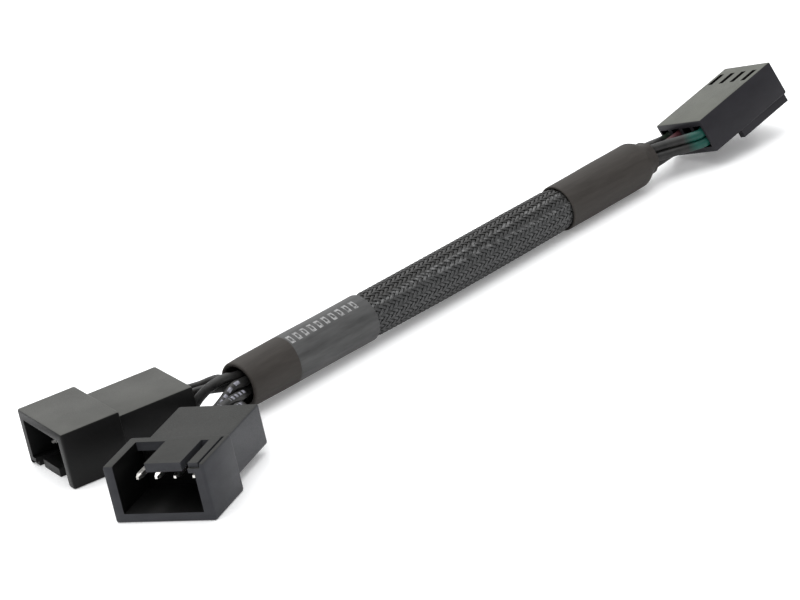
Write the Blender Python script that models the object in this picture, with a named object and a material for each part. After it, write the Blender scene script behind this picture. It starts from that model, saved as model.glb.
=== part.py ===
"""Fan splitter cable: one four-way socket, a sleeved trunk and two shrouded four-way plugs.

Metres, +Z up. The cable lies on the plane z = 0 with its trunk along X. The socket is at
the +X end, plug A is at -Y and stands upright, plug B is at +Y and lies upside down.
"""
import math

import bpy
import bmesh
from mathutils import Euler, Matrix, Vector

# Gap between two pieces that touch on the real cable
GAP = 0.0003

# Wires and trunk
WIRE_OD = 0.00125
WIRE_STEP = 0.003
SLEEVE_WALL = 0.00025
SLEEVE_OD = 0.00625
SLEEVE_SWELL_LENGTH = 0.0022
SHRINK_WALL = 0.00025
TRUNK_TWIST = -30.0
WIRE_LEAD = 0.0006
BUNDLE_STATIONS = 11
ROUND_SIDES = 20

# Route points of the wires between their plug and the fork
FORK_WIRES = {
    ("a", "control"): [
        (-0.0440, -0.0012, 0.0043), (-0.0415, -0.0001, 0.0032),
        (-0.0390, 0.0007, 0.0035), (-0.0371, 0.0007, 0.0044),
    ],
    ("a", "tach"): [(-0.0430, -0.0034, 0.0046), (-0.0400, -0.0018, 0.0041), (-0.0371, -0.0003, 0.0034)],
    ("a", "power"): [
        (-0.0422, -0.0055, 0.0046), (-0.0399, -0.0035, 0.0036),
        (-0.0381, -0.0013, 0.0024), (-0.0369, 0.0008, 0.0017),
    ],
    ("a", "ground"): [
        (-0.0417, -0.0073, 0.0039), (-0.0403, -0.0032, 0.0021),
        (-0.0389, 0.0001, 0.0019), (-0.0373, 0.0024, 0.0023),
    ],
    ("b", "control"): [(-0.0401, 0.0037, 0.0041), (-0.0389, 0.0028, 0.0050), (-0.0371, 0.0020, 0.0054)],
    ("b", "power"): [(-0.0386, 0.0076, 0.0031), (-0.0380, 0.0052, 0.0038), (-0.0369, 0.0029, 0.0040)],
    ("b", "ground"): [(-0.0378, 0.0099, 0.0029), (-0.0371, 0.0074, 0.0036), (-0.0365, 0.0046, 0.0046)],
}

# Stations along the trunk, from the fork to the socket
FORK_END = -0.03515
COLLAR_END = -0.02730
LABEL_END = -0.01345
SLEEVE_START = -0.03065
SLEEVE_END = 0.02885
BOOT_START = 0.02445
BOOT_SHOULDER = 0.04030
BOOT_END = 0.04265
TRUNK_ROUTE = [
    (-0.03815, 0.00188, 0.00365),
    (-0.03015, 0.00188, 0.00358),
    (-0.01815, 0.00188, 0.00350),
    (-0.00015, 0.00178, 0.00338),
    (0.01485, 0.00188, 0.00334),
    (0.02985, 0.00198, 0.00336),
    (0.03985, 0.00198, 0.00345),
    (0.04585, 0.00188, 0.00355),
]

# Terminals
PIN_PITCH = 0.00254
PIN_WIDTH = 0.00064
PIN_TAPER = 0.0007
BARREL_WIDTH = 0.0015
WAYS = ("ground", "power", "tach", "control")

# Shrouded plug
SHROUD_WIDTH = 0.0136
SHROUD_HEIGHT = 0.0075
SHROUD_DEPTH = 0.0082
SIDE_WALL = 0.0014
FLOOR_WALL = 0.0012
ROOF_WALL = 0.00115
POCKET_BACK = 0.0004
BODY_WIDTH = 0.0110
BODY_LENGTH = 0.0107
BODY_FLOOR = 0.0011
BODY_ROOF_DROP = 0.0010
WEB_DEPTH = 0.0015
NOTCH_LEFT = 0.00135
TONGUE_RIGHT = -0.0035
SLOT_WIDTH = 0.0011
RAIL_WIDTH = 0.0013
GROOVE_WIDTH = 0.00035
GROOVE_DEPTH = 0.0006
TONGUE_SETBACK = 0.0006
RAIL_SETBACK = 0.0004
PIN_HEIGHT = 0.00475
PIN_REACH = 0.0054
PLUG_BARREL_SETBACK = 0.0027
PLUG_BARREL_INSET = 0.0032
PLUG_EDGE = 0.0003

# Socket
SOCKET_WIDTH = 0.0104
SOCKET_THICKNESS = 0.00515
SOCKET_LENGTH = 0.01495
SOCKET_EDGE = 0.00025
RIB_HEIGHT = 0.00115
RIB_WIDTH = 0.0010
RIB_LENGTH = 0.0095
RIB_INSET = 0.0004
CONTACT_WIDTH = 0.0014
CONTACT_WALL = 0.00025
CONTACT_BACK_WALL = 0.0010
SOCKET_FRONT_WALL = 0.0010
SOCKET_BARREL_LENGTH = 0.0034
SOCKET_BARREL_INSET = 0.0035
WINDOW_WIDTH = 0.0010
WINDOW_LENGTH = 0.0027
WINDOW_FROM_FRONT = 0.0019

# Where the three connectors lie
PLUG_A_PLACE = (-0.05474, -0.01008, 0.0)
PLUG_A_TURN = 113.4
PLUG_B_PLACE = (-0.05075, 0.01068)
PLUG_B_TURN = 74.75
SOCKET_PLACE = (0.05008, -0.00012, 0.00128)
SOCKET_TURN = (12.8, -13.2, -95.1)

PLASTIC = ((0.022, 0.022, 0.023), 0.42, 0.0)
TUBE = ((0.026, 0.023, 0.023), 0.60, 0.0)
LABEL_TUBE = ((0.035, 0.035, 0.036), 0.45, 0.0)
BRAID = ((0.018, 0.018, 0.019), 0.70, 0.0)
WIRE = ((0.020, 0.020, 0.022), 0.50, 0.0)
TIN = ((0.72, 0.70, 0.66), 0.28, 1.0)

WIRE_PITCH = WIRE_OD + GAP
BUNDLE_RADIUS = WIRE_PITCH + WIRE_OD / 2
SLEEVE_BORE = BUNDLE_RADIUS + GAP
TUBE_BORE = SLEEVE_BORE + SLEEVE_WALL + GAP
TUBE_RADIUS = TUBE_BORE + SHRINK_WALL
BARREL_HOLE = BARREL_WIDTH + 2 * GAP


def clear_scene():
    for old in list(bpy.data.objects):
        bpy.data.objects.remove(old, do_unlink=True)


def finish(name, look):
    """A Principled material from a (colour, roughness, metallic) look."""
    colour, roughness, metallic = look
    material = bpy.data.materials.new(name)
    material.use_nodes = True
    shader = material.node_tree.nodes["Principled BSDF"]
    shader.inputs["Base Color"].default_value = (*colour, 1.0)
    shader.inputs["Roughness"].default_value = roughness
    shader.inputs["Metallic"].default_value = metallic
    material.diffuse_color = (*colour, 1.0)
    return material


def add_object(name, data, parent=None, material=None):
    obj = bpy.data.objects.new(name, data)
    bpy.context.scene.collection.objects.link(obj)
    obj.parent = parent
    if material:
        data.materials.append(material)
    return obj


def add_place(name, matrix):
    """An empty that carries a connector's own frame."""
    place = add_object(name, None)
    place.matrix_world = matrix
    return place


def block(name, low, high, edge=0.0):
    """A box between two corners, with its edges rounded where an edge is given."""
    mesh = bpy.data.meshes.new(name)
    shape = bmesh.new()
    bmesh.ops.create_cube(shape, size=1.0)
    size = [b - a for a, b in zip(low, high)]
    centre = [(a + b) / 2 for a, b in zip(low, high)]
    bmesh.ops.scale(shape, vec=size, verts=shape.verts)
    bmesh.ops.translate(shape, vec=centre, verts=shape.verts)
    if edge:
        bmesh.ops.bevel(shape, geom=shape.edges[:], offset=edge, segments=2, profile=0.5,
                        affect="EDGES")
    shape.to_mesh(mesh)
    shape.free()
    return mesh


def combine(obj, tools, operation):
    """Union or cut hidden tool shapes, given as meshes in the frame of the object's parent."""
    for number, mesh in enumerate(tools):
        tool = add_object(f"{obj.name}_{operation.lower()}_{number}", mesh, obj.parent)
        tool.hide_render = True
        tool.display_type = "WIRE"
        step = obj.modifiers.new(tool.name, "BOOLEAN")
        step.operation = operation
        step.object = tool
        step.solver = "EXACT"


def skin_rings(name, rings, closed=False):
    """A solid skinned through rings of equal length; the ends are capped, or joined if closed."""
    mesh = bpy.data.meshes.new(name)
    shape = bmesh.new()
    loops = [[shape.verts.new(point) for point in ring] for ring in rings]
    count = len(rings[0])
    pairs = list(zip(loops, loops[1:]))
    if closed:
        pairs.append((loops[-1], loops[0]))
    for first, second in pairs:
        for i in range(count):
            j = (i + 1) % count
            shape.faces.new((first[i], first[j], second[j], second[i]))
    if not closed:
        shape.faces.new(loops[0][::-1])
        shape.faces.new(loops[-1])
    bmesh.ops.recalc_face_normals(shape, faces=shape.faces)
    shape.to_mesh(mesh)
    shape.free()
    return mesh


def way_offset(way):
    """Sideways place of a way: ground, power, tach and control run from -x to +x."""
    return (WAYS.index(way) - (len(WAYS) - 1) / 2) * PIN_PITCH


def smooth_points(route, step):
    """Points every step or so along the smooth curve through a route's own points."""
    knots = [Vector(point) for point in route]
    knots = [2 * knots[0] - knots[1], *knots, 2 * knots[-1] - knots[-2]]
    points = [knots[1].copy()]
    for a, b, c, d in zip(knots, knots[1:], knots[2:], knots[3:]):
        parts = max(1, round((c - b).length / step))
        for i in range(1, parts + 1):
            t = i / parts
            points.append(
                0.5 * (2 * b + (c - a) * t + (2 * a - 5 * b + 4 * c - d) * t ** 2
                       + (3 * b - a - 3 * c + d) * t ** 3)
            )
    return points


def trunk_centre(x):
    """The trunk's centre at a station, read from the smooth curve through its route."""
    fine = smooth_points(TRUNK_ROUTE, 0.001)
    for a, b in zip(fine, fine[1:]):
        if a.x <= x <= b.x:
            return a.lerp(b, (x - a.x) / (b.x - a.x))
    return fine[0].copy() if x < fine[0].x else fine[-1].copy()


def ring_about_trunk(x, radius):
    centre = trunk_centre(x)
    turns = [2 * math.pi * i / ROUND_SIDES for i in range(ROUND_SIDES)]
    return [(x, centre.y + radius * math.cos(a), centre.z + radius * math.sin(a)) for a in turns]


def trunk_tube(name, profile, wall, material):
    """A round tube about the trunk, from (station, outer radius) pairs and a wall."""
    outer = [ring_about_trunk(x, radius) for x, radius in profile]
    inner = [ring_about_trunk(x, radius - wall) for x, radius in reversed(profile)]
    tube = add_object(name, skin_rings(name, outer + inner, closed=True), None, material)
    tube.data.shade_smooth()
    tube.data.set_sharp_from_angle(angle=math.radians(40))
    return tube


def add_wire(name, route, material):
    """One wire: a filled round cord along the smooth curve through its route."""
    points = smooth_points(route, WIRE_STEP)
    curve = bpy.data.curves.new(name, "CURVE")
    curve.dimensions = "3D"
    curve.bevel_depth = WIRE_OD / 2
    curve.bevel_resolution = 2
    curve.use_fill_caps = True
    line = curve.splines.new("POLY")
    line.points.add(len(points) - 1)
    for spot, point in zip(line.points, points):
        spot.co = (*point, 1.0)
    return add_object(name, curve, None, material)


def square_ring(x, y, z, width, height):
    """Eight points round a rectangle across y: its corners and the middles of its sides."""
    sides = [(1, 0), (1, 1), (0, 1), (-1, 1), (-1, 0), (-1, -1), (0, -1), (1, -1)]
    return [(x + a * width / 2, y, z + b * height / 2) for a, b in sides]


def round_ring(x, y, z, width, height):
    """Eight points round an oval across y."""
    turns = [math.pi * i / 4 for i in range(8)]
    return [(x + width / 2 * math.cos(a), y, z + height / 2 * math.sin(a)) for a in turns]


def plug_housing(name, place, material):
    """The plug's one-piece housing: a shroud with tongues, and a plain body for the terminals."""
    half = SHROUD_WIDTH / 2
    pocket = half - SIDE_WALL
    roof = SHROUD_HEIGHT - ROOF_WALL
    clear = SHROUD_HEIGHT
    shoulder = POCKET_BACK + GAP
    body_low = (-BODY_WIDTH / 2, -BODY_LENGTH, BODY_FLOOR)
    body_high = (BODY_WIDTH / 2, shoulder, SHROUD_HEIGHT - BODY_ROOF_DROP)
    shroud = block(name, (-half, 0, 0), (half, SHROUD_DEPTH, SHROUD_HEIGHT), PLUG_EDGE)
    housing = add_object(name, shroud, place, material)
    combine(housing, [block("plug_body", body_low, body_high, PLUG_EDGE)], "UNION")

    mouth = SHROUD_DEPTH + clear
    above = SHROUD_HEIGHT + clear
    rail_right = TONGUE_RIGHT - SLOT_WIDTH - RAIL_WIDTH
    cuts = [
        block("pocket", (-pocket, POCKET_BACK, FLOOR_WALL), (pocket, mouth, roof)),
        block("notch", (NOTCH_LEFT, WEB_DEPTH, FLOOR_WALL * 2), (pocket, mouth, above)),
        block("slot", (TONGUE_RIGHT - SLOT_WIDTH, WEB_DEPTH, roof - GAP), (TONGUE_RIGHT, mouth, above)),
        block("tongue_front", (TONGUE_RIGHT - GAP, SHROUD_DEPTH - TONGUE_SETBACK, roof - GAP),
              (NOTCH_LEFT + GAP, mouth, above)),
        block("rail_front", (rail_right, SHROUD_DEPTH - RAIL_SETBACK, SHROUD_HEIGHT - GROOVE_DEPTH),
              (TONGUE_RIGHT - SLOT_WIDTH + GAP, mouth, above)),
        block("groove", (rail_right - GROOVE_WIDTH, WEB_DEPTH / 2, SHROUD_HEIGHT - GROOVE_DEPTH),
              (rail_right, mouth, above)),
    ]
    hole_end = GAP - PLUG_BARREL_SETBACK
    for way in WAYS:
        x = way_offset(way)
        reach = (BARREL_HOLE / 2, PIN_WIDTH / 2 + GAP)
        bore = [round_ring(x, y, PIN_HEIGHT, 2 * reach[0], 2 * reach[0])
                for y in (-BODY_LENGTH - clear, hole_end)]
        cuts.append(skin_rings("terminal_bore", bore))
        cuts.append(block("pin_hole", (x - reach[1], hole_end - GAP, PIN_HEIGHT - reach[1]),
                          (x + reach[1], POCKET_BACK + GAP, PIN_HEIGHT + reach[1])))
    combine(housing, cuts, "DIFFERENCE")
    return housing


def plug_pin(name, place, way, material):
    """A plug terminal: a crimped barrel at the back and a square pin that ends in a taper."""
    x = way_offset(way)
    back = -BODY_LENGTH + PLUG_BARREL_INSET
    front = -PLUG_BARREL_SETBACK
    tip = POCKET_BACK + PIN_REACH
    z = PIN_HEIGHT
    rings = [
        round_ring(x, back, z, BARREL_WIDTH, BARREL_WIDTH),
        round_ring(x, front - BARREL_WIDTH / 2, z, BARREL_WIDTH, BARREL_WIDTH),
        square_ring(x, front, z, PIN_WIDTH, PIN_WIDTH),
        square_ring(x, tip - PIN_TAPER, z, PIN_WIDTH, PIN_WIDTH),
        square_ring(x, tip, z, PIN_WIDTH / 2, PIN_WIDTH / 2),
    ]
    return add_object(name, skin_rings(name, rings), place, material)


def socket_housing(name, place, material):
    """The socket's one-piece housing: four terminal cavities, lock windows and two guide ribs."""
    half = SOCKET_WIDTH / 2
    clear = SOCKET_THICKNESS
    middle = SOCKET_THICKNESS / 2
    body = block(name, (-half, 0, 0), (half, SOCKET_LENGTH, SOCKET_THICKNESS), SOCKET_EDGE)
    housing = add_object(name, body, place, material)
    ribs = []
    for side in (-1, 1):
        edges = sorted((side * (half - RIB_INSET), side * (half - RIB_INSET - RIB_WIDTH)))
        ribs.append(block("rib", (edges[0], SOCKET_LENGTH - RIB_LENGTH, -RIB_HEIGHT),
                          (edges[1], SOCKET_LENGTH - SOCKET_EDGE, SOCKET_EDGE * 2)))
    combine(housing, ribs, "UNION")

    cuts = []
    barrel_end = SOCKET_BARREL_INSET + SOCKET_BARREL_LENGTH
    tall = 2 * WIRE_OD + 3 * GAP
    contact = CONTACT_WIDTH / 2 + GAP
    entry = PIN_WIDTH / 2 + GAP
    window_end = SOCKET_LENGTH - WINDOW_FROM_FRONT
    for way in WAYS:
        x = way_offset(way)
        cuts.append(block("wire_cavity", (x - BARREL_HOLE / 2 + GAP / 2, -clear, middle - tall / 2),
                          (x + BARREL_HOLE / 2 - GAP / 2, barrel_end + GAP, middle + tall / 2)))
        cuts.append(block("contact_cavity", (x - contact, barrel_end, middle - contact),
                          (x + contact, SOCKET_LENGTH - SOCKET_FRONT_WALL, middle + contact)))
        cuts.append(block("pin_entry", (x - entry, SOCKET_LENGTH - SOCKET_FRONT_WALL - GAP, middle - entry),
                          (x + entry, SOCKET_LENGTH + clear, middle + entry)))
        cuts.append(block("window", (x - WINDOW_WIDTH / 2, window_end - WINDOW_LENGTH, middle + GAP),
                          (x + WINDOW_WIDTH / 2, window_end, SOCKET_THICKNESS + clear)))
    combine(housing, cuts, "DIFFERENCE")
    return housing


def socket_contact(name, place, way, wires, material):
    """A socket terminal: a barrel crimped on one or two wires, then a box open at its front."""
    x = way_offset(way)
    z = SOCKET_THICKNESS / 2
    back = SOCKET_BARREL_INSET
    neck = back + SOCKET_BARREL_LENGTH - CONTACT_WIDTH / 2
    box_start = neck + CONTACT_WIDTH
    front = SOCKET_LENGTH - SOCKET_FRONT_WALL - GAP
    tall = WIRE_OD * wires + GAP * (wires - 1)
    hole = CONTACT_WIDTH - 2 * CONTACT_WALL
    rings = [
        round_ring(x, back, z, BARREL_WIDTH - GAP, tall),
        round_ring(x, neck, z, BARREL_WIDTH - GAP, CONTACT_WIDTH),
        square_ring(x, box_start, z, CONTACT_WIDTH, CONTACT_WIDTH),
        square_ring(x, front, z, CONTACT_WIDTH, CONTACT_WIDTH),
        square_ring(x, front, z, hole, hole),
        square_ring(x, box_start + CONTACT_BACK_WALL, z, hole, hole),
    ]
    return add_object(name, skin_rings(name, rings), place, material)


def bundle_spot(turn, x, out=1.0):
    """A wire's place in the trunk: turn is its angle at the socket end, out its distance in pitches."""
    centre = trunk_centre(x)
    along = (BOOT_END - x) / (BOOT_END - FORK_END)
    angle = math.radians(turn + TRUNK_TWIST * along)
    reach = out * WIRE_PITCH
    return (x, centre.y + reach * math.cos(angle), centre.z + reach * math.sin(angle))


def wire_route(letter, turn, out, plug, socket, way, stack):
    """A wire's route points, from its barrel in a plug, through the trunk, to the socket's barrel."""
    x = way_offset(way)
    leaving = [plug @ Vector((x, y - BODY_LENGTH, PIN_HEIGHT))
               for y in (PLUG_BARREL_INSET - GAP, WIRE_OD / 2)]
    span = BOOT_END - FORK_END - 2 * WIRE_STEP
    inner = [FORK_END + WIRE_STEP + span * i / (BUNDLE_STATIONS - 1) for i in range(BUNDLE_STATIONS)]
    stations = [FORK_END, *inner, BOOT_END]
    bundled = [bundle_spot(turn, station, out) for station in stations]
    z = SOCKET_THICKNESS / 2 + stack * WIRE_PITCH / 2
    arriving = [socket @ Vector((x, y, z)) for y in (-WIRE_LEAD, WIRE_OD / 2, SOCKET_BARREL_INSET - GAP)]
    return [*leaving, *FORK_WIRES[letter, way], *bundled, *arriving]


def build():
    clear_scene()
    plastic = finish("black_nylon", PLASTIC)
    tin = finish("tinned_contact", TIN)
    wire = finish("wire_jacket", WIRE)
    tube = finish("shrink_tube", TUBE)
    label_tube = finish("label_tube", LABEL_TUBE)
    braid = finish("braid", BRAID)

    plug_a = Matrix.Translation(PLUG_A_PLACE) @ Matrix.Rotation(math.radians(PLUG_A_TURN), 4, "Z")
    plug_b = (Matrix.Translation((*PLUG_B_PLACE, SHROUD_HEIGHT))
              @ Matrix.Rotation(math.radians(PLUG_B_TURN), 4, "Z")
              @ Matrix.Rotation(math.pi, 4, "Y"))
    pitch, roll, yaw = (math.radians(angle) for angle in SOCKET_TURN)
    socket = Matrix.Translation(SOCKET_PLACE) @ Euler((pitch, roll, yaw), "YXZ").to_matrix().to_4x4()
    place_a = add_place("plug_a_place", plug_a)
    place_b = add_place("plug_b_place", plug_b)
    socket_place = add_place("socket_place", socket)

    plug_housing("plug_a_housing", place_a, plastic)
    plug_housing("plug_b_housing", place_b, plastic)
    socket_housing("socket_housing", socket_place, plastic)
    branches = {"a": (plug_a, place_a, WAYS), "b": (plug_b, place_b, ("ground", "power", "control"))}
    for letter, (_, place, ways) in branches.items():
        for way in ways:
            plug_pin(f"plug_{letter}_pin_{way}", place, way, tin)
    for way in WAYS:
        wires = 1 if way == "tach" else 2
        socket_contact(f"socket_contact_{way}", socket_place, way, wires, tin)

    # Each wire's angle in the bundle at the socket end, its distance out, and its stack height
    bundle = {
        ("a", "ground"): (0, 1, -1), ("b", "ground"): (60, 1, 1),
        ("a", "power"): (300, 1, -1), ("b", "power"): (0, 0, 1),
        ("a", "control"): (180, 1, -1), ("b", "control"): (120, 1, 1),
        ("a", "tach"): (240, 1, 0),
    }
    for (letter, way), (turn, out, stack) in bundle.items():
        route = wire_route(letter, turn, out, branches[letter][0], socket, way, stack)
        add_wire(f"wire_{letter}_{way}", route, wire)

    pinched = SLEEVE_BORE + SLEEVE_WALL
    label_swell = LABEL_END + GAP + SLEEVE_SWELL_LENGTH
    boot_swell = BOOT_START - GAP - SLEEVE_SWELL_LENGTH
    sleeve = [
        (SLEEVE_START, pinched), (LABEL_END + GAP, pinched), (label_swell, SLEEVE_OD / 2),
        ((label_swell + boot_swell) / 2, SLEEVE_OD / 2), (boot_swell, SLEEVE_OD / 2),
        (BOOT_START - GAP, pinched), (SLEEVE_END, pinched),
    ]
    trunk_tube("braided_sleeve", sleeve, SLEEVE_WALL, braid)
    trunk_tube("fork_collar", [(FORK_END, TUBE_RADIUS), (COLLAR_END - GAP, TUBE_RADIUS)], SHRINK_WALL, tube)
    trunk_tube("label_tube", [(COLLAR_END, TUBE_RADIUS), (LABEL_END, TUBE_RADIUS)], SHRINK_WALL, label_tube)
    boot_neck = BUNDLE_RADIUS + GAP + SHRINK_WALL
    boot = [
        (BOOT_START, TUBE_RADIUS), (BOOT_SHOULDER, TUBE_RADIUS),
        ((BOOT_SHOULDER + BOOT_END) / 2, (TUBE_RADIUS + boot_neck) / 2), (BOOT_END, boot_neck),
    ]
    trunk_tube("socket_boot", boot, SHRINK_WALL, tube)


build()
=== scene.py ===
"""Looks of the fan splitter cable: moulded connectors, printed wires, woven sleeve, shrunk tubes.

Metres, +Z up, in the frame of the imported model. The cable lies on z = 0 with its trunk along X,
the socket at +X, plug A at -Y with its slots up and plug B at +Y, upside down.
"""
import math

import bmesh
import bpy
import numpy as np
from mathutils import Euler, Matrix, Vector


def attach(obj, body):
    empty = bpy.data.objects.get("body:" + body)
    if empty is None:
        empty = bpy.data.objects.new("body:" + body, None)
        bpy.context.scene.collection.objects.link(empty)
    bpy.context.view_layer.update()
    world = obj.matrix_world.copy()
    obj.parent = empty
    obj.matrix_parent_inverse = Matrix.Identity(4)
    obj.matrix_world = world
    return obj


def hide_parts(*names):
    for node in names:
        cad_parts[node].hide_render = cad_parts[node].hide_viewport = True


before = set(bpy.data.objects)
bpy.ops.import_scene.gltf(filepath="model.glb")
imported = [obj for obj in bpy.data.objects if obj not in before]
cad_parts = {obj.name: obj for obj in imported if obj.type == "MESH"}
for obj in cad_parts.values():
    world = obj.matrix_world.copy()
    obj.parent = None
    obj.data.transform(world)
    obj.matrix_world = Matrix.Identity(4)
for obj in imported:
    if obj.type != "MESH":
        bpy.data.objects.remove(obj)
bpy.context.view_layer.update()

BODY = "root"

# Trunk, from the fork to the socket, as the solids have it
FORK_END = -0.03515
COLLAR_END = -0.02730
LABEL_END = -0.01345
SLEEVE_START = -0.03065
SLEEVE_END = 0.02885
BOOT_START = 0.02445
BOOT_SHOULDER = 0.04030
BOOT_END = 0.04265
TUBE_RADIUS = 0.00325
TUBE_WALL = 0.00035
TRUNK_ROUTE = np.array([
    (-0.03815, 0.00188, 0.00365), (-0.03015, 0.00188, 0.00358), (-0.01815, 0.00188, 0.00350),
    (-0.00015, 0.00178, 0.00338), (0.01485, 0.00188, 0.00334), (0.02985, 0.00198, 0.00336),
    (0.03985, 0.00198, 0.00345), (0.04585, 0.00188, 0.00355),
])

# Connectors, as the solids have them
PIN_PITCH = 0.00254
PIN_HEIGHT = 0.00475
SHROUD_HEIGHT = 0.0075
BODY_LENGTH = 0.0107
PLUG_BARREL_INSET = 0.0032
SOCKET_THICKNESS = 0.00515
SOCKET_BARREL_INSET = 0.0035
WAYS = ("ground", "power", "tach", "control")
PLUG_A_PLACE = (-0.05474, -0.01008, 0.0)
PLUG_A_TURN = 113.4
PLUG_B_PLACE = (-0.05075, 0.01068)
PLUG_B_TURN = 74.75
SOCKET_PLACE = (0.05008, -0.00012, 0.00128)
SOCKET_TURN = (12.8, -13.2, -95.1)
CLEARANCE = 0.0003

# Route points of the wires between their plug and the fork, as in the solids
FORK_WIRES = {
    ("a", "control"): [
        (-0.0440, -0.0012, 0.0043), (-0.0415, -0.0001, 0.0032),
        (-0.0390, 0.0007, 0.0035), (-0.0371, 0.0007, 0.0044),
    ],
    ("a", "tach"): [
        (-0.0430, -0.0034, 0.0046), (-0.0400, -0.0018, 0.0041), (-0.0371, -0.0003, 0.0034),
    ],
    ("a", "power"): [
        (-0.0422, -0.0055, 0.0046), (-0.0399, -0.0035, 0.0036),
        (-0.0381, -0.0013, 0.0024), (-0.0369, 0.0008, 0.0017),
    ],
    ("a", "ground"): [
        (-0.0417, -0.0073, 0.0039), (-0.0403, -0.0032, 0.0021),
        (-0.0389, 0.0001, 0.0019), (-0.0373, 0.0024, 0.0023),
    ],
    ("b", "control"): [
        (-0.0401, 0.0037, 0.0041), (-0.0389, 0.0028, 0.0050), (-0.0371, 0.0020, 0.0054),
    ],
    ("b", "power"): [
        (-0.0386, 0.0076, 0.0031), (-0.0380, 0.0052, 0.0038), (-0.0369, 0.0029, 0.0040),
    ],
    ("b", "ground"): [
        (-0.0378, 0.0099, 0.0029), (-0.0371, 0.0074, 0.0036), (-0.0365, 0.0046, 0.0046),
    ],
}

# Each wire's angle in the bundle in degrees, 1 on its rim or 0 at its core, and its side of the
# barrel at the socket: 1 above, -1 below, 0 where it is alone
WIRE_LAY = {
    ("a", "ground"): (0, 1, -1), ("b", "ground"): (60, 1, 1),
    ("a", "power"): (300, 1, -1), ("b", "power"): (0, 0, 1),
    ("a", "control"): (180, 1, -1), ("b", "control"): (120, 1, 1),
    ("a", "tach"): (240, 1, 0),
}
WIRE_OD = 0.00130
WIRE_PITCH = 0.00132
WIRE_LEAD = 0.0006
WIRE_STEP = 0.0004
WIRE_SIDES = 16
TRUNK_TWIST = -30.0

# Wire jackets: tints next to the socket, and how much of the print each plug's wires have
JACKET_TINTS = {
    "ground": (0.014, 0.022, 0.014), "power": (0.055, 0.014, 0.018),
    "tach": (0.030, 0.018, 0.020), "control": (0.003, 0.060, 0.046),
}
PRINT_LEFT = {"a": 1.0, "b": 0.0}

# The print on a wire, in millimetres along it: dashes, grouped in words, far from the socket
DASH_PITCH = 1.15
WORD_PITCH = 7.5
WORD_SHARE = 0.66
PRINT_START = 80.0
TINT_FADE = (4.7, 6.0)

# The print on the label tube: a row of hollow marks, in pitches along it and in turns round it
MARK_PITCH = 1.25
MARK_ROW = 0.320
MARK_HALF = (0.27, 0.036)
MARK_HOLLOW_HALF = (0.13, 0.018)
MARKS_FROM, MARKS_TO = 0.1, 12.5

# Tubes: the collar has a thicker wall and a faint squeeze at its mouth, and the boot tapers from
# a little before its shoulder
COLLAR_WALL = 0.00060
COLLAR_SQUEEZE = 0.00006
COLLAR_SQUEEZE_REACH = 0.0010
TUBE_GAP = 0.0001
BOOT_NECK = 0.00228
TAPER_LEAD = 0.0006
TAPER_EXTRA = 0.0004
LOBE_DEPTH = 0.00008
TUBE_SIDES = 72

# Woven sleeve: ribbons of two filaments, their section and the weave's mean radius by station,
# pinched under the tubes and swelled where it is free
CARRIERS = 32
BRAID_TURNS = 2.15
WEAVE_DEPTH = 0.00007
STRAND_STEPS = 320
RIBBON_ACROSS = 0.00021 * np.array([-1.0, -0.55, 0.0, 0.55, 1.0, 0.45, -0.45])
RIBBON_RISE = 0.00007 * np.array([0.1, 1.0, 0.45, 1.0, 0.1, -0.5, -0.5])
WEAVE_RADII = (
    (SLEEVE_START, 0.00262), (LABEL_END - 0.0004, 0.00264), (LABEL_END + 0.0016, 0.00292),
    (0.0, 0.00298), (0.0150, 0.00296), (BOOT_START - 0.0016, 0.00290),
    (BOOT_START + 0.0004, 0.00264), (SLEEVE_END, 0.00262),
)
# A dark tube of painted shade inside the weave, seen between its strands: its inset from the
# sleeve's ends, its depth under the weave and its wall
SHADE_TUBE_INSET = 0.0002
SHADE_TUBE_DEPTH = 0.00014
SHADE_TUBE_WALL = 0.0002

# Glints on the sleeve: Y and Z of its axis, their angle from +Y in radians, how far the two lines
# have spread at the boot, and the half widths in radians where a line begins to fade and ends
SLEEVE_AXIS = (0.00188, 0.00340)
SLEEVE_GLINT = 2.44
GLINT_SPREAD = 0.35
GLINT_EDGE = (0.03, 0.13)

# Mouldings: the small radius of their edges, boxes round their hollows in their own frames, the
# least height of an open top, and each housing's side colour, top colour and gloss; the side and
# top colours are painted shade and painted light, set apart for each housing
EDGE_RADIUS = 0.00011
PLUG_POCKET = ((-0.00545, 0.0003, 0.0011), (0.00545, 0.00815, 0.0064))
SOCKET_CAVITY = ((-0.0050, 0.0003, 0.0002), (0.0050, 0.0147, 0.0050))
TOP_HEIGHT = 0.0055
FRONT_PAINTED_SHADES_AND_GLOSS = ((0.042, 0.043, 0.048), (0.027, 0.027, 0.025), 0.12)
REAR_PAINTED_SHADES_AND_GLOSS = ((0.005, 0.005, 0.005), (0.072, 0.072, 0.066), 0.17)
SOCKET_PAINTED_SHADES_AND_GLOSS = ((0.022, 0.021, 0.025), (0.104, 0.107, 0.092), 0.17)

# Studio: radiance at the horizon, what the zenith adds, what the patch behind adds and where it
# lies, and the lamp overhead in metres and watts
HORIZON = 0.35
ZENITH = 0.58
PATCH = 0.62
PATCH_DIRECTION = (0.643, 0.766, 0.0)
LAMP_PLACE = (-0.05, 0.12, 0.60)
LAMP_SIZE = 0.9
LAMP_POWER = 4.4
TABLE_HALF = 1.5
TABLE_GLOW = 0.18

# Camera: fitted to the photograph's view
CAMERA_PLACE = (-0.30430, -0.35314, 0.17669)
CAMERA_RIGHT = (0.6961, -0.6867, -0.2098)
CAMERA_UP = (0.3915, 0.1179, 0.9126)
CAMERA_LENS = 170.8


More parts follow.
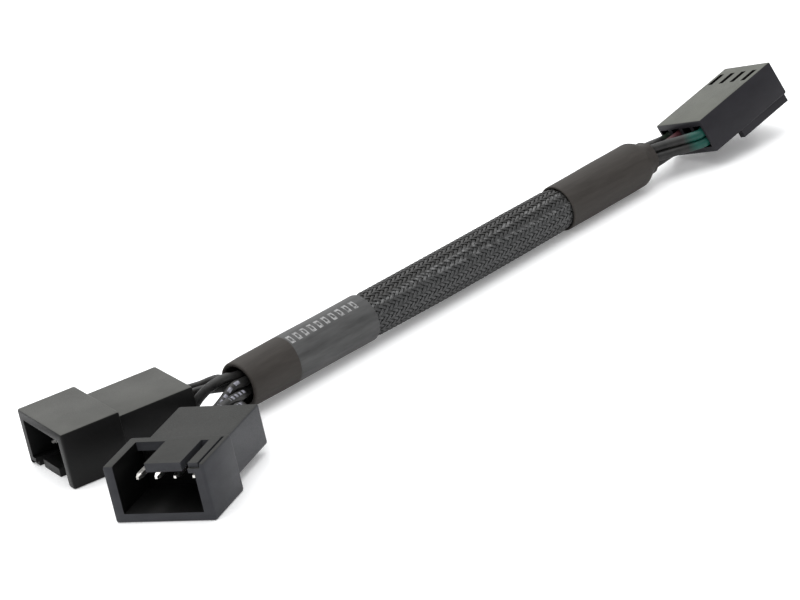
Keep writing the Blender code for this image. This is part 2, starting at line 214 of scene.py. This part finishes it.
def smooth_line(route, step):
    """Evenly spaced points along the Catmull-Rom curve through a route's points.

    Each span between two points b and c is the cubic 0.5 * (2b + (c - a)t + (2a - 5b + 4c - d)t^2
    + (3b - a - 3c + d)t^3), with a and d the points beside them, and the whole is then measured
    along its length and read at equal steps.
    """
    knots = np.asarray(route, float)
    knots = np.vstack([2 * knots[0] - knots[1], knots, 2 * knots[-1] - knots[-2]])
    t = np.linspace(0, 1, 24, endpoint=False)[:, None]
    a, b, c, d = (knots[i:len(knots) - 3 + i, None] for i in range(4))
    spans = 0.5 * (2 * b + (c - a) * t + (2 * a - 5 * b + 4 * c - d) * t ** 2
                   + (3 * b - a - 3 * c + d) * t ** 3)
    fine = np.vstack([spans.reshape(-1, 3), knots[-2]])
    along = np.concatenate([[0], np.cumsum(np.linalg.norm(np.diff(fine, axis=0), axis=1))])
    even = np.linspace(0, along[-1], max(8, round(along[-1] / step)) + 1)
    return np.stack([np.interp(even, along, fine[:, k]) for k in range(3)], axis=1)


def trunk_centre(x):
    """The trunk's centre at stations x, read from its smooth route."""
    fine = smooth_line(TRUNK_ROUTE, 0.0005)
    x = np.asarray(x, float)
    across, upward = (np.interp(x, fine[:, 0], fine[:, k]) for k in (1, 2))
    return np.stack([x, across, upward], -1)


def unit(v):
    return v / np.linalg.norm(v, axis=-1, keepdims=True)


def ease(share):
    """A share from 0 to 1 that starts and ends gently: 3s^2 - 2s^3."""
    return share * share * (3 - 2 * share)


def carry_profile(line, across, upward):
    """A surface made by carrying a profile along a line.

    At each point of the line, the profile's across and upward values are laid along two
    directions square to the line: a level one and the one that stands on it.
    """
    ahead = unit(np.gradient(line, axis=0))
    level = unit(np.cross(ahead, (0.0, 0.0, 1.0)))
    upright = np.cross(level, ahead)
    return line[:, None] + across[..., None] * level[:, None] + upward[..., None] * upright[:, None]


def quad_corners(rings, count, loop):
    """The four corner numbers of each quad of a grid of closed rings, one ring after another."""
    i = np.arange(rings if loop else rings - 1)[:, None]
    j = np.arange(count)[None, :]
    i2, j2 = (i + 1) % rings, (j + 1) % count
    corners = [i * count + j, i * count + j2, i2 * count + j2, i2 * count + j]
    return np.stack(corners, -1).reshape(-1, 4)


def make_piece(name, grid, stands_for, along, loop=False):
    """A mesh piece from a grid of points: closed rings along its first axis.

    Open ends get a flat cap, unless the rings themselves run round in a loop. The UV map's u is
    the given value for each ring, with one more where they loop, and v goes once round.
    """
    rings, count = grid.shape[:2]
    quads = quad_corners(rings, count, loop).tolist()
    caps = [] if loop else [list(range(count))[::-1],
                            list(range((rings - 1) * count, rings * count))]
    mesh = bpy.data.meshes.new(name)
    mesh.from_pydata(grid.reshape(-1, 3).tolist(), [], quads + caps)
    table = np.stack(np.meshgrid(along, np.linspace(0, 1, count + 1), indexing="ij"), -1)
    corners = np.stack([table[:-1, :-1], table[:-1, 1:], table[1:, 1:], table[1:, :-1]], 2)
    values = np.zeros((len(mesh.loops), 2), np.float32)
    values[:len(quads) * 4] = corners.reshape(-1, 2)
    mesh.uv_layers.new(name="along").data.foreach_set("uv", values.ravel())
    return add_piece(name, mesh, stands_for)


def add_piece(name, mesh, stands_for):
    """Link a mesh as a piece that rides on the cable and stands for a solid of the same place."""
    shape = bmesh.new()
    shape.from_mesh(mesh)
    bmesh.ops.recalc_face_normals(shape, faces=shape.faces)
    shape.to_mesh(mesh)
    shape.free()
    mesh.shade_smooth()
    piece = bpy.data.objects.new(name, mesh)
    bpy.context.scene.collection.objects.link(piece)
    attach(piece, BODY)
    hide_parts(stands_for)
    return piece


class Nodes:
    """A short way to write the node tree of a material or a world."""

    def __init__(self, owner):
        owner.use_nodes = True
        self.owner = owner
        self.tree = owner.node_tree

    def feed(self, node, inputs):
        """Give a node's inputs an output to read or a plain value."""
        for key, value in inputs.items():
            if isinstance(value, bpy.types.NodeSocket):
                self.tree.links.new(value, node.inputs[key])
            else:
                node.inputs[key].default_value = value

    def add(self, kind, inputs=None, **settings):
        node = self.tree.nodes.new(kind)
        for key, value in settings.items():
            setattr(node, key, value)
        self.feed(node, inputs or {})
        return node

    def surface(self, inputs):
        """Feed the material's surface."""
        self.feed(self.tree.nodes["Principled BSDF"], inputs)

    def place(self, scale=(1, 1, 1)):
        """Object coordinates in millimetres, times a stretch."""
        coordinates = self.add("ShaderNodeTexCoord").outputs["Object"]
        stretch = tuple(1000 * s for s in scale)
        mapping = self.add("ShaderNodeMapping", {"Vector": coordinates, "Scale": stretch})
        return mapping.outputs["Vector"]

    def uv(self):
        """The UV map's u and v."""
        coordinates = self.add("ShaderNodeTexCoord").outputs["UV"]
        return self.add("ShaderNodeSeparateXYZ", {"Vector": coordinates}).outputs[:2]

    def noise(self, vector, scale, detail=3.0):
        return self.add("ShaderNodeTexNoise", {"Vector": vector, "Scale": scale, "Detail": detail,
                                               "Roughness": 0.55}).outputs["Fac"]

    def ramp(self, value, low, high, start=0.0, end=1.0, shape="LINEAR"):
        """Map a value from start..end onto low..high."""
        inputs = {"Value": value, "From Min": start, "From Max": end, "To Min": low, "To Max": high}
        return self.add("ShaderNodeMapRange", inputs, interpolation_type=shape).outputs["Result"]

    def calc(self, how, *values):
        """A sum, product or other calculation of its two or three values."""
        return self.add("ShaderNodeMath", dict(enumerate(values)), operation=how).outputs[0]

    def product(self, first, *others):
        for other in others:
            first = self.calc("MULTIPLY", first, other)
        return first

    def repeat(self, value, pitch):
        """A value's place in a pattern that repeats at each pitch, from 0 to 1."""
        return self.calc("FRACT", self.calc("MULTIPLY", value, 1 / pitch))

    def mix(self, share, first, second):
        """A colour between two colours."""
        inputs = {0: share, 6: first, 7: second}
        return self.add("ShaderNodeMix", inputs, data_type="RGBA").outputs[2]

    def cloud(self, pattern, first, second):
        """Soft patches of two colours, where a noise pattern is low or high."""
        return self.mix(self.ramp(pattern, 0, 1, 0.3, 0.7), first, second)

    def bump(self, height, depth):
        """Relief of a real depth in metres."""
        node = self.add("ShaderNodeBump", {"Height": height, "Strength": 1.0, "Distance": depth})
        self.surface({"Normal": node.outputs["Normal"]})


def grey(value, warmth=0.0):
    return (value * (1 + warmth), value, value * (1 - warmth), 1.0)


def moulded_nylon(name, side, top, gloss):
    """Black nylon with a fine spark-eroded grain and faint flow marks.

    The faces carry an attribute that is 0 inside the pockets, 0.5 on the sides and 1 on the tops,
    and the three colours follow it: painted shade in the pockets and painted light on the tops.
    """
    make = Nodes(bpy.data.materials.new(name))
    painted_shading = make.add("ShaderNodeAttribute", attribute_name="painted_shading").outputs["Fac"]
    grain = make.noise(make.place(), 9.0)
    flow = make.noise(make.place((0.25, 0.25, 0.6)), 1.0, 2.0)
    # Painted shade in the pockets, then the side colour, then painted light on the tops
    outside = make.mix(make.ramp(painted_shading, 0, 1, 0.0, 0.5), grey(0.003), (*side, 1.0))
    skin = make.mix(make.ramp(painted_shading, 0, 1, 0.5, 1.0), outside, (*top, 1.0))
    make.surface({
        "Base Color": make.mix(make.ramp(flow, 0.0, 0.2, 0.3, 0.7), skin, grey(0.0)),
        "Roughness": make.ramp(grain, 0.38, 0.52, 0.3, 0.7),
        "Specular IOR Level": gloss,
    })
    make.bump(grain, 0.000012)
    return make.owner


def tinned_contact():
    """Tin plate, drawn along its length, with soft darker patches."""
    make = Nodes(bpy.data.materials.new("tinned_contact_plate"))
    streak = make.noise(make.place((9, 1, 9)), 1.0)
    cloud = make.noise(make.place(), 1.3, 2.0)
    bright, dull = (0.90, 0.89, 0.86, 1), (0.70, 0.68, 0.64, 1)
    make.surface({
        "Base Color": make.mix(make.ramp(cloud, 0, 1, 0.35, 0.65), bright, dull),
        "Metallic": 1.0,
        "Roughness": make.ramp(streak, 0.28, 0.45, 0.3, 0.7),
    })
    make.bump(streak, 0.000006)
    return make.owner


def wire_jacket(name, tint, ink):
    """Extruded black jacket, with pale generic dashes at the fork and a tint next to the socket.

    The UV map's u is the length in millimetres from the socket end, and v goes once round. The
    ink is the share of the print that is left, from 0 to 1.
    """
    make = Nodes(bpy.data.materials.new(name))
    along, around = make.uv()
    place = make.place()
    bars = make.ramp(make.repeat(along, DASH_PITCH), 0, 1, 0.36, 0.52)
    rows = make.calc("COMPARE", make.repeat(around, 0.5), 0.26, 0.13)
    words = make.calc("LESS_THAN", make.repeat(along, WORD_PITCH), WORD_SHARE)
    begun = make.calc("GREATER_THAN", along, PRINT_START)
    worn = make.ramp(make.noise(place, 3.5), 0.35, 1.0, 0.35, 0.6)
    dashes = make.product(bars, rows, words, begun, worn, ink)
    jacket = make.cloud(make.noise(place, 0.8, 2.0), grey(0.010), grey(0.022, 0.05))
    tinted = make.mix(make.ramp(along, 1.0, 0.0, *TINT_FADE), jacket, (*tint, 1.0))
    fine = make.noise(place, 6.0, 2.0)
    make.surface({
        "Base Color": make.mix(dashes, tinted, (0.30, 0.30, 0.35, 1)),
        "Roughness": make.ramp(fine, 0.38, 0.54, 0.3, 0.7),
        "Specular IOR Level": 0.32,
    })
    make.bump(make.calc("ADD", fine, make.product(dashes, 0.5)), 0.000012)
    return make.owner


def shrunk_tube():
    """Brownish black shrunk tube: matte, with long soft wrinkles and a fine orange-peel skin."""
    make = Nodes(bpy.data.materials.new("shrunk_tube"))
    streak = make.noise(make.place((0.22, 1.6, 1.6)), 1.0, 4.0)
    peel = make.noise(make.place(), 7.0, 2.0)
    make.surface({
        "Base Color": make.cloud(streak, (0.036, 0.032, 0.029, 1), (0.050, 0.045, 0.041, 1)),
        "Roughness": make.ramp(streak, 0.46, 0.62, 0.3, 0.7),
        "Specular IOR Level": 0.12,
    })
    make.bump(make.calc("ADD", peel, make.product(streak, 3.0)), 0.000012)
    return make.owner


def label_tube():
    """Greyer, glossier shrunk tube with one row of generic pale marks along its upper side.

    The UV map's u is the length in millimetres from the fork side, and v goes once round.
    """
    make = Nodes(bpy.data.materials.new("printed_label_tube"))
    along, around = make.uv()
    place = make.place()
    cell = make.repeat(along, MARK_PITCH)
    filled, hollow = (
        make.product(make.calc("COMPARE", cell, 0.5, length),
                     make.calc("COMPARE", around, MARK_ROW, turn))
        for length, turn in (MARK_HALF, MARK_HOLLOW_HALF))
    started = make.calc("GREATER_THAN", along, MARKS_FROM)
    going = make.calc("LESS_THAN", along, MARKS_TO)
    worn = make.ramp(make.noise(place, 2.5), 0.25, 1.0, 0.35, 0.6)
    marks = make.product(make.calc("SUBTRACT", filled, hollow), started, going, worn)
    streak = make.noise(make.place((0.2, 1.2, 1.2)), 1.0)
    make.surface({
        "Base Color": make.mix(marks, make.cloud(streak, grey(0.052), grey(0.086)), grey(0.32)),
        "Roughness": make.ramp(streak, 0.34, 0.48, 0.3, 0.7),
        "Specular IOR Level": 0.15,
    })
    peel = make.noise(place, 6.0, 2.0)
    make.bump(make.calc("ADD", peel, make.product(streak, 2.0)), 0.000010)
    return make.owner


def braid_fibre():
    """Black polyester monofilament, with painted shade on its upper side, painted light on its
    lower side and two broken lines of painted glints.

    The lines start together at the label tube, SLEEVE_GLINT radians round the trunk from +Y, and
    spread evenly to either side on the way to the boot. The pattern reads coordinates turned
    about the sleeve's axis, so that their second faces the glints.
    """
    make = Nodes(bpy.data.materials.new("braid_fibre"))
    place = make.place()
    coordinates = make.add("ShaderNodeTexCoord").outputs["Object"]
    turned = make.add("ShaderNodeMapping", {"Vector": coordinates, "Location": (0.0, *SLEEVE_AXIS),
                                            "Rotation": (SLEEVE_GLINT, 0.0, 0.0),
                                            "Scale": (0.001,) * 3}, vector_type="TEXTURE")
    spot = make.add("ShaderNodeSeparateXYZ", {"Vector": turned.outputs["Vector"]}).outputs
    aside = make.calc("ABSOLUTE", make.calc("ARCTAN2", spot[2], spot[1]))
    spread = make.ramp(spot[0], 0.0, GLINT_SPREAD, 1000 * LABEL_END, 1000 * BOOT_START)
    off_line = make.calc("ABSOLUTE", make.calc("SUBTRACT", aside, spread))
    # Painted glints: two broken lines of highlight
    line = make.ramp(off_line, 1, 0, *GLINT_EDGE)
    broken = make.ramp(make.noise(make.place((1.3, 2.0, 2.0)), 1.0, 2.0), 0, 1, 0.40, 0.60)
    patches = make.noise(place, 1.5)
    # Painted shade on the upper side of the sleeve, painted light on its lower side
    above = make.cloud(patches, grey(0.007, 0.06), grey(0.021, 0.06))
    below = make.cloud(patches, grey(0.029, -0.01), grey(0.060, -0.01))
    body = make.mix(make.ramp(spot[2], 0, 1, -1.0, 1.0), above, below)
    make.surface({
        "Base Color": make.mix(make.product(line, broken), body, grey(0.15)),
        "Roughness": make.ramp(make.noise(place, 5.0), 0.26, 0.44, 0.3, 0.7),
        "Specular IOR Level": 0.4,
    })
    return make.owner


def painted_shade_tube():
    """The shadowed inside of the sleeve, seen only between its strands: a dark tube of painted
    shade.
    """
    make = Nodes(bpy.data.materials.new("sleeve_shadow"))
    cloud = make.noise(make.place(), 2.0)
    make.surface({"Base Color": make.mix(cloud, grey(0.006), grey(0.012)), "Roughness": 0.8})
    return make.owner


def connector_places():
    """The three connectors' own frames in the cable's frame."""
    plug_a = Matrix.Translation(PLUG_A_PLACE) @ Matrix.Rotation(math.radians(PLUG_A_TURN), 4, "Z")
    plug_b = (Matrix.Translation((*PLUG_B_PLACE, SHROUD_HEIGHT))
              @ Matrix.Rotation(math.radians(PLUG_B_TURN), 4, "Z")
              @ Matrix.Rotation(math.pi, 4, "Y"))
    pitch, roll, yaw = (math.radians(angle) for angle in SOCKET_TURN)
    turn = Euler((pitch, roll, yaw), "YXZ").to_matrix().to_4x4()
    return plug_a, plug_b, Matrix.Translation(SOCKET_PLACE) @ turn


def way_offset(way):
    return (WAYS.index(way) - (len(WAYS) - 1) / 2) * PIN_PITCH


def bundle_points(turn, out, stations):
    """A wire's places in the trunk: its angle runs evenly from the fork to the socket."""
    along = (BOOT_END - stations) / (BOOT_END - FORK_END)
    angle = np.radians(turn + TRUNK_TWIST * along)
    aside = np.stack([0 * angle, np.cos(angle), np.sin(angle)], -1)
    return trunk_centre(stations) + out * WIRE_PITCH * aside


def wire_line(letter, way, plug, socket):
    """A wire's centreline from its plug to the socket, evenly spaced."""
    turn, out, stack = WIRE_LAY[letter, way]
    x = way_offset(way)
    leaving = [tuple(plug @ Vector((x, y - BODY_LENGTH, PIN_HEIGHT)))
               for y in (PLUG_BARREL_INSET - CLEARANCE, WIRE_OD / 2)]
    bundled = bundle_points(turn, out, np.linspace(FORK_END, BOOT_END, 14))
    z = SOCKET_THICKNESS / 2 + stack * WIRE_PITCH / 2
    arriving = [tuple(socket @ Vector((x, y, z)))
                for y in (-WIRE_LEAD, WIRE_OD / 2, SOCKET_BARREL_INSET - CLEARANCE)]
    route = np.vstack([leaving, FORK_WIRES[letter, way], bundled, arriving])
    return smooth_line(route, WIRE_STEP)


def add_wires(plug_a, plug_b, socket):
    """The seven wires, each a round cord with its print and its tint near the socket."""
    plugs = {"a": plug_a, "b": plug_b}
    angle = np.linspace(0, 2 * math.pi, WIRE_SIDES, endpoint=False)[None, :]
    across, upward = WIRE_OD / 2 * np.cos(angle), WIRE_OD / 2 * np.sin(angle)
    for letter, way in WIRE_LAY:
        line = wire_line(letter, way, plugs[letter], socket)
        length = float(np.linalg.norm(np.diff(line, axis=0), axis=1).sum())
        to_socket = 1000 * np.linspace(length, 0, len(line))
        name = f"wire_{letter}_{way}"
        skin = carry_profile(line, across, upward)
        piece = make_piece(f"{name}_jacket", skin, name, to_socket)
        jacket = wire_jacket(f"jacket_{letter}_{way}", JACKET_TINTS[way], PRINT_LEFT[letter])
        piece.data.materials.append(jacket)


def tube_skin(name, stand_in, stations, radius, wall, material, lumps):
    """A shrunk tube round the trunk: an outer skin, two rounded lips and an inner skin.

    The profile runs out along the outside, round the far lip, back along the inside and round
    the near lip. The radius at a station is the given one plus lumps(x, angle), and the inside
    follows the outside.
    """
    angle = np.linspace(0, 2 * math.pi, TUBE_SIDES, endpoint=False)[None, :]
    lip = np.linspace(0, math.pi, 7)[1:-1]
    near, far = stations[0], stations[-1]
    bulge = wall / 2
    x = np.concatenate([stations, far + bulge * np.sin(lip), stations[::-1],
                        near - bulge * np.sin(lip)])
    depth = np.concatenate([0 * stations, bulge * (1 - np.cos(lip)), 0 * stations + wall,
                            bulge * (1 + np.cos(lip))])
    station = np.clip(x, near, far)[:, None]
    reach = np.interp(station, stations, radius) - depth[:, None] + lumps(station, angle)
    out = np.stack([0 * reach, reach * np.cos(angle), reach * np.sin(angle)], -1)
    along = 1000 * (np.append(x, x[0]) - near)
    piece = make_piece(name, trunk_centre(x)[:, None] + out, stand_in, along, loop=True)
    piece.data.materials.append(material)


def soft_lumps(depth, seed):
    """Gentle unevenness of a tube that has shrunk onto wires: three slow waves round and along."""
    def lumps(x, angle):
        waves = (np.sin(2 * angle + 310 * x + seed) + 0.6 * np.sin(3 * angle - 520 * x + 2 * seed)
                 + 0.4 * np.sin(5 * angle + 900 * x + 3 * seed))
        return depth * waves / 2
    return lumps


def wire_lobes(start, end, depth):
    """Six soft ridges where a tube lies tight on the bundle, which grow from start to end."""
    soft = soft_lumps(0.00003, 1.3)

    def lumps(x, angle):
        share = ease(np.clip((x - start) / (end - start), 0, 1))
        twist = math.radians(TRUNK_TWIST) * (BOOT_END - x) / (BOOT_END - FORK_END)
        return soft(x, angle) * (1 - share) + depth * share * np.cos(6 * (angle - twist))
    return lumps


def add_tubes():
    """Fork collar, label tube and socket boot."""
    brown_black = shrunk_tube()
    collar = np.linspace(FORK_END, COLLAR_END - TUBE_GAP, 40)
    squeeze = COLLAR_SQUEEZE * np.exp(-((collar - FORK_END) / COLLAR_SQUEEZE_REACH) ** 2)
    tube_skin("fork_collar_skin", "fork_collar", collar, TUBE_RADIUS - squeeze,
              COLLAR_WALL, brown_black, soft_lumps(0.00005, 0.4))
    label = np.linspace(COLLAR_END, LABEL_END, 60)
    tube_skin("label_tube_skin", "label_tube", label, TUBE_RADIUS + 0 * label,
              TUBE_WALL, label_tube(), soft_lumps(0.00003, 2.1))
    boot = np.linspace(BOOT_START, BOOT_END, 90)
    share = (boot - BOOT_SHOULDER + TAPER_LEAD) / (BOOT_END - BOOT_SHOULDER + TAPER_EXTRA)
    radius = TUBE_RADIUS + (BOOT_NECK - TUBE_RADIUS) * ease(np.clip(share, 0, 1))
    tube_skin("socket_boot_skin", "socket_boot", boot, radius, TUBE_WALL,
              brown_black, wire_lobes(BOOT_SHOULDER - TAPER_LEAD, BOOT_END, LOBE_DEPTH))


def sleeve_radius(x):
    """Mean radius of the weave at stations x."""
    return np.interp(x, *zip(*WEAVE_RADII))


def strand_rings(hand):
    """The rings of all ribbons of one family: carrier, step, point of the section, coordinate.

    A ribbon's centre winds evenly round the trunk, to the right where hand is 1 and to the left
    where it is -1. With p and q the places, in ribbons, of this family and the other one at a
    point, its height over the mean radius is hand * sqrt(2) * WEAVE_DEPTH * cos(pi / 2 * (p + q)
    + pi / 4), so that one family is up where the other is down: over two and under two.
    """
    x = np.linspace(SLEEVE_START, SLEEVE_END, STRAND_STEPS)
    carrier = np.arange(CARRIERS)[:, None]
    turns = hand * BRAID_TURNS * (x - SLEEVE_START) / (SLEEVE_END - SLEEVE_START)
    angle = 2 * math.pi * (carrier / CARRIERS + turns)
    other = carrier + 2 * turns * CARRIERS
    wave = np.cos(math.pi / 2 * (carrier + other) + math.pi / 4)
    height = hand * WEAVE_DEPTH * math.sqrt(2) * wave
    out = np.stack([0 * angle, np.cos(angle), np.sin(angle)], -1)
    line = trunk_centre(x) + (sleeve_radius(x) + height)[..., None] * out
    ahead = unit(np.gradient(line, axis=1))
    side = unit(np.cross(ahead, out))
    proud = np.cross(side, ahead)
    return (line[:, :, None] + RIBBON_ACROSS[:, None] * side[:, :, None]
            + RIBBON_RISE[:, None] * proud[:, :, None])


def add_braid():
    """The woven sleeve: a right-hand and a left-hand family of ribbons, and a dark tube of painted
    shade inside them.
    """
    fibre = braid_fibre()
    count = len(RIBBON_ACROSS)
    ribbon = STRAND_STEPS * count
    first = ribbon * np.arange(CARRIERS)[:, None, None]
    quads = (quad_corners(STRAND_STEPS, count, False) + first).reshape(-1, 4).tolist()
    ends = np.stack([np.arange(count)[::-1], np.arange(ribbon - count, ribbon)])
    caps = (ends + first).reshape(-1, count).tolist()
    for hand, label in ((1, "right"), (-1, "left")):
        name = f"sleeve_strands_{label}"
        mesh = bpy.data.meshes.new(name)
        mesh.from_pydata(strand_rings(hand).reshape(-1, 3).tolist(), [], quads + caps)
        piece = add_piece(name, mesh, "braided_sleeve")
        piece.data.materials.append(fibre)
    # A dark tube of painted shade under the strands
    inner = np.linspace(SLEEVE_START + SHADE_TUBE_INSET, SLEEVE_END - SHADE_TUBE_INSET, 60)
    tube_skin("sleeve_painted_shade", "braided_sleeve", inner, sleeve_radius(inner) - SHADE_TUBE_DEPTH,
              SHADE_TUBE_WALL, painted_shade_tube(), soft_lumps(0.0, 0.0))


def mark_painted_shading(mesh, place, hollow):
    """Store each face's painted shading on a housing: 0 in its hollow for painted shade, 0.5 on the
    sides, 1 on top for painted light.

    A face counts as inside where its centre, in the connector's own frame, lies within the
    hollow's box, and as a top where it looks up and lies above TOP_HEIGHT.
    """
    count = len(mesh.polygons)
    centres = np.empty(count * 3, np.float32)
    normals = np.empty(count * 3, np.float32)
    mesh.polygons.foreach_get("center", centres)
    mesh.polygons.foreach_get("normal", normals)
    centres = centres.reshape(-1, 3)
    normals = normals.reshape(-1, 3)
    inverse = np.array(place.inverted())
    own = centres @ inverse[:3, :3].T + inverse[:3, 3]
    low, high = np.array(hollow)
    inside = ((own > low) & (own < high)).all(axis=1)
    top = (normals[:, 2] > 0.7) & (centres[:, 2] > TOP_HEIGHT)
    # 0 is painted shade in the hollow, 1 is painted light on the tops
    painted_shading = np.where(top, 1.0, np.where(inside, 0.0, 0.5)).astype(np.float32)
    mesh.attributes.new("painted_shading", "FLOAT", "FACE").data.foreach_set("value", painted_shading)


def rounded_moulding(name, node, material, place, hollow):
    """A moulding with its small edge radii: the solid's faces made whole, its edges rounded."""
    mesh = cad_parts[node].data.copy()
    mesh.materials.clear()
    shape = bmesh.new()
    shape.from_mesh(mesh)
    weld = 0.000002
    bmesh.ops.remove_doubles(shape, verts=shape.verts, dist=weld)
    bmesh.ops.dissolve_limit(shape, angle_limit=math.radians(1.0), verts=shape.verts,
                             edges=shape.edges)
    bmesh.ops.dissolve_degenerate(shape, dist=weld, edges=shape.edges)
    shape.to_mesh(mesh)
    shape.free()
    piece = add_piece(name, mesh, node)
    mark_painted_shading(piece.data, place, hollow)
    bevel = piece.modifiers.new("edges", "BEVEL")
    bevel.width = EDGE_RADIUS
    bevel.segments = 3
    bevel.limit_method = "ANGLE"
    bevel.angle_limit = math.radians(28)
    bevel.harden_normals = True
    piece.data.materials.append(material)


def add_connectors(plug_a, plug_b, socket):
    """The three housings, each with its own side and top colours of painted shade and painted
    light, and tin on every pin and contact.
    """
    # One copy of the nylon for each housing, with painted shade and painted light of its own
    for node, painted_copy_name, colours, place, hollow in (
            ("plug_a_housing", "moulded_nylon_front_painted_shading", FRONT_PAINTED_SHADES_AND_GLOSS, plug_a, PLUG_POCKET),
            ("plug_b_housing", "moulded_nylon_rear_painted_shading", REAR_PAINTED_SHADES_AND_GLOSS, plug_b, PLUG_POCKET),
            ("socket_housing", "moulded_nylon_socket_painted_shading", SOCKET_PAINTED_SHADES_AND_GLOSS, socket, SOCKET_CAVITY)):
        shell = node.replace("housing", "shell")
        rounded_moulding(shell, node, moulded_nylon(painted_copy_name, *colours), place, hollow)
    tin = tinned_contact()
    for node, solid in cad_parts.items():
        if "_pin_" in node or "_contact_" in node:
            solid.data.materials.clear()
            solid.data.materials.append(tin)


def add_floor():
    """A white table top, faintly glossy and lit a little from below, far larger than the view."""
    mesh = bpy.data.meshes.new("table_top")
    corners = [(x * TABLE_HALF, y * TABLE_HALF, 0) for x, y in ((-1, -1), (1, -1), (1, 1), (-1, 1))]
    mesh.from_pydata(corners, [], [(0, 1, 2, 3)])
    floor = bpy.data.objects.new("table_top", mesh)
    bpy.context.scene.collection.objects.link(floor)
    make = Nodes(bpy.data.materials.new("table_white"))
    make.surface({
        "Base Color": (0.93, 0.93, 0.935, 1),
        "Roughness": make.ramp(make.noise(make.place((0.05, 0.05, 0.05)), 1.0), 0.30, 0.36),
        "Specular IOR Level": 0.35,
        "Emission Color": (1.0, 1.0, 1.0, 1),
        "Emission Strength": TABLE_GLOW,
    })
    floor.data.materials.append(make.owner)


def add_lights():
    """A studio tent and a lamp: dim at the horizon, brighter overhead and in a patch behind."""
    make = Nodes(bpy.data.worlds.new("studio"))
    direction = make.add("ShaderNodeTexCoord").outputs["Generated"]
    behind = make.add("ShaderNodeVectorMath", {0: direction, 1: PATCH_DIRECTION},
                      operation="DOT_PRODUCT").outputs["Value"]
    upward = make.add("ShaderNodeSeparateXYZ", {0: direction}).outputs[2]
    patch = make.product(make.ramp(behind, 0.0, PATCH, 0.3, 0.9, "SMOOTHSTEP"),
                         make.ramp(upward, 0.0, 1.0, 0.02, 0.30, "SMOOTHSTEP"))
    tent = make.calc("ADD", make.ramp(upward, 0.0, ZENITH, 0.0, 0.8, "SMOOTHSTEP"), HORIZON)
    make.feed(make.tree.nodes["Background"], {"Strength": make.calc("ADD", tent, patch),
                                              "Color": (0.985, 0.995, 1.0, 1)})
    bpy.context.scene.world = make.owner
    data = bpy.data.lights.new("overhead", "AREA")
    data.shape = "RECTANGLE"
    data.size = data.size_y = LAMP_SIZE
    data.energy = LAMP_POWER
    lamp = bpy.data.objects.new("overhead", data)
    bpy.context.scene.collection.objects.link(lamp)
    lamp.location = LAMP_PLACE
    lamp.rotation_euler = (-Vector(LAMP_PLACE)).to_track_quat("-Z", "Y").to_euler()


def add_camera():
    data = bpy.data.cameras.new("view")
    data.lens = CAMERA_LENS
    data.sensor_width = 36.0
    data.clip_start = 0.01
    data.clip_end = 20.0
    camera = bpy.data.objects.new("view", data)
    right = Vector(CAMERA_RIGHT).normalized()
    up = Vector(CAMERA_UP)
    up = (up - right * up.dot(right)).normalized()
    turn = Matrix((right, up, right.cross(up))).transposed()
    camera.matrix_world = Matrix.Translation(CAMERA_PLACE) @ turn.to_4x4()
    bpy.context.scene.collection.objects.link(camera)
    bpy.context.scene.camera = camera
    bpy.context.scene.view_settings.view_transform = "Standard"


plug_a, plug_b, socket = connector_places()
add_camera()
add_wires(plug_a, plug_b, socket)
add_connectors(plug_a, plug_b, socket)
add_tubes()
add_braid()
add_floor()
add_lights()
